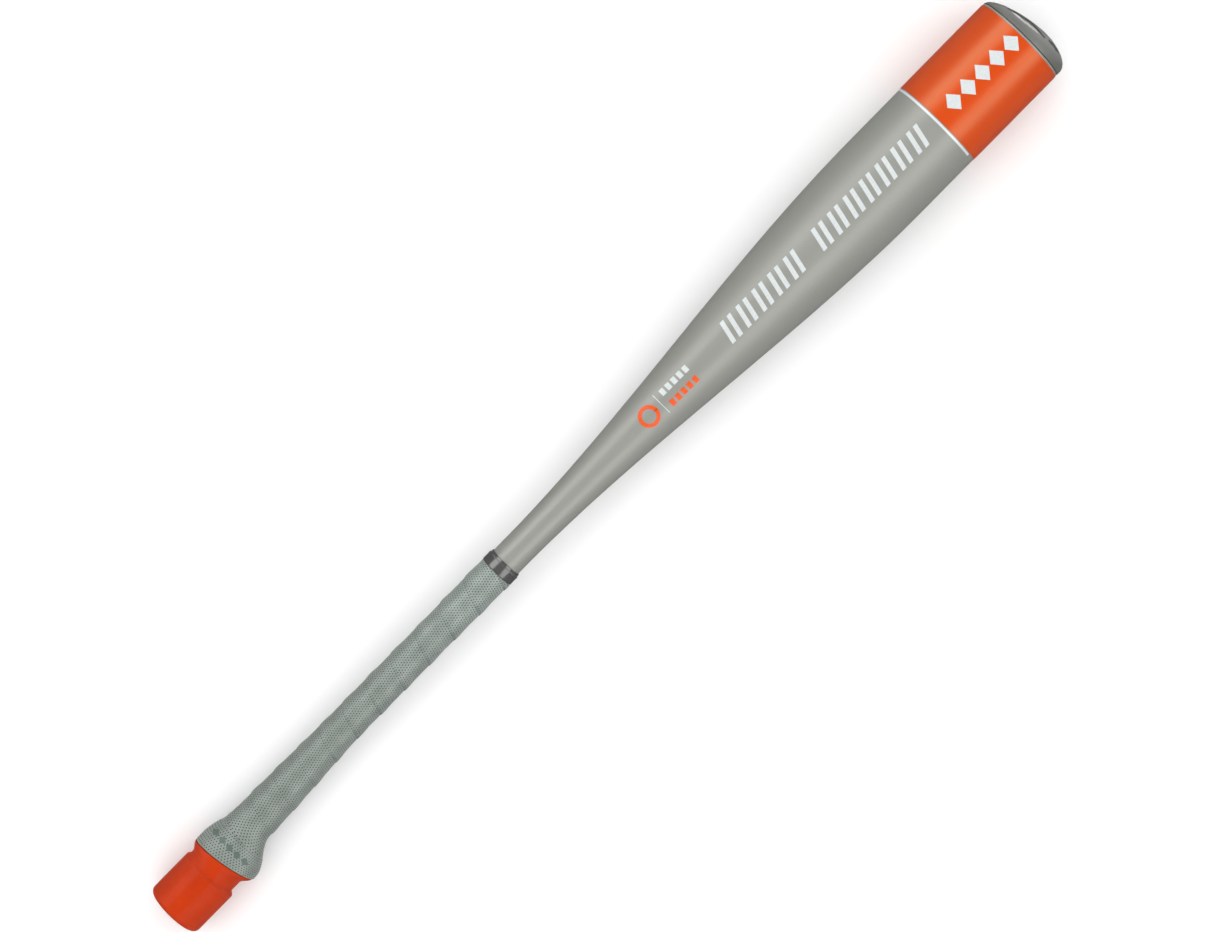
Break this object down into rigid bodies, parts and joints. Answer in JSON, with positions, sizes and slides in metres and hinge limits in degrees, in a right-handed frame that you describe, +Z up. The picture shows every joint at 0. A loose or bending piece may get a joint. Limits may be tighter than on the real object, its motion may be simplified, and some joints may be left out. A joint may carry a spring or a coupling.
{
  "type": "weighted training bat",
  "caption": "Youth-size ball bat for swing training: tapered alloy barrel, oval taped handle with an off-centre knob, and a rubber-covered counterweight below the knob.",
  "frame": {"origin": "on the floor, under the middle of the bat's length and of its width", "axes": "+X runs from the counterweight to the barrel's cap along the bat as it lies, with its barrel end raised 1.09 degrees; +Z is up; the knob's heel points to -Y"},
  "size_m": [0.8102, 0.0666, 0.0688],
  "materials": {
    "barrel_paint": "satin",
    "band_film": "satin",
    "cap_matte": "matte",
    "cap_gloss": "gloss",
    "foam": "matte",
    "collar_gloss": "gloss",
    "grip_tape": "matte",
    "handle_moulding": "matte",
    "bare_alloy": "satin",
    "steel": "satin",
    "cover_rubber": "matte"
  },
  "bodies": {
    "root": {"barrel_shell": "barrel_paint", "end_band_wrap": "band_film", "end_cap": "cap_matte", "end_cap_inlay": "cap_gloss", "barrel_damper": "foam", "taper_damper": "foam", "grip_collar": "collar_gloss", "grip_wrap": "grip_tape", "handle_core": "handle_moulding", "threaded_plug": "bare_alloy", "plug_cross_pin": "steel", "weight_adapter": "handle_moulding", "counterweight_slug": "steel", "counterweight_cover": "cover_rubber", "weight_bolt": "steel", "bolt_washer": "steel", "bolt_lock_washer": "steel"}
  },
  "joints": []
}
